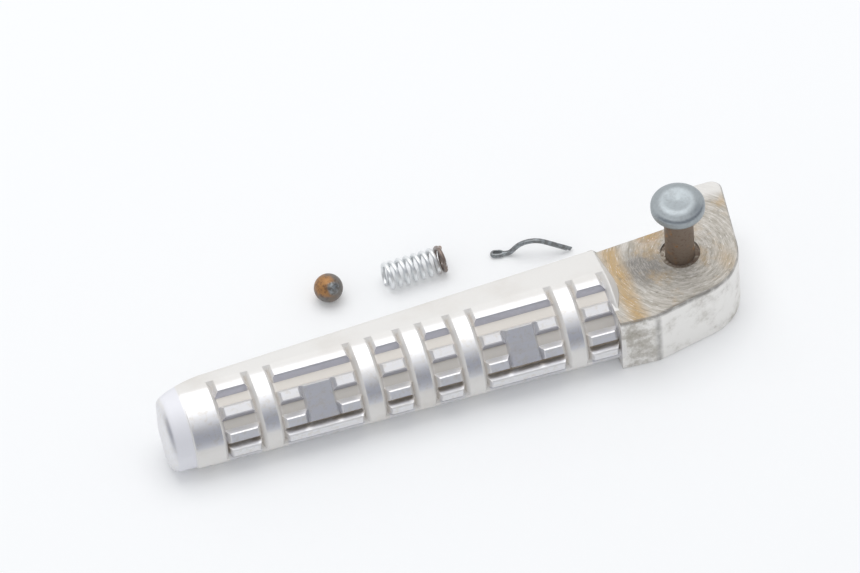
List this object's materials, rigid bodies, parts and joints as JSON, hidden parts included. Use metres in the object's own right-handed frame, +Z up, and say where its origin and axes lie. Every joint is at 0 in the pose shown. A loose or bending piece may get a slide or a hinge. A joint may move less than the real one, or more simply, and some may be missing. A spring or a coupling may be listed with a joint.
{
  "type": "motorcycle footrest",
  "caption": "Motorcycle rear footrest: cast arm with a patterned tread and a bushed pivot knuckle, its pivot pin standing in the bush, detent ball, spring and split pin laid beside it.",
  "frame": {"origin": "pivot axis at the knuckle's lower face", "axes": "+X along the arm towards the knuckle, +Z up the pivot axis, -Y towards the tread"},
  "size_m": [0.1674, 0.0569, 0.0413],
  "materials": {
    "cast_aluminium": "matte cast, worn smooth on the tread",
    "bush_steel": "dull, rust stained",
    "pin_steel": "dull, worn and rusty along the shaft",
    "ball_steel": "polished, rusted",
    "spring_steel": "zinc plated",
    "split_pin_steel": "dull"
  },
  "bodies": {
    "footrest": {"footrest_body": "cast_aluminium", "pivot_bush": "bush_steel", "detent_ball": "ball_steel", "detent_spring": "spring_steel", "split_pin": "split_pin_steel"},
    "pin": {"pivot_pin": "pin_steel"}
  },
  "joints": [
    {"name": "pin_turn", "type": "hinge", "parent": "footrest", "child": "pin", "pos_m": [0, 0, 0], "axis": [0, 0, 1], "continuous": true}
  ]
}
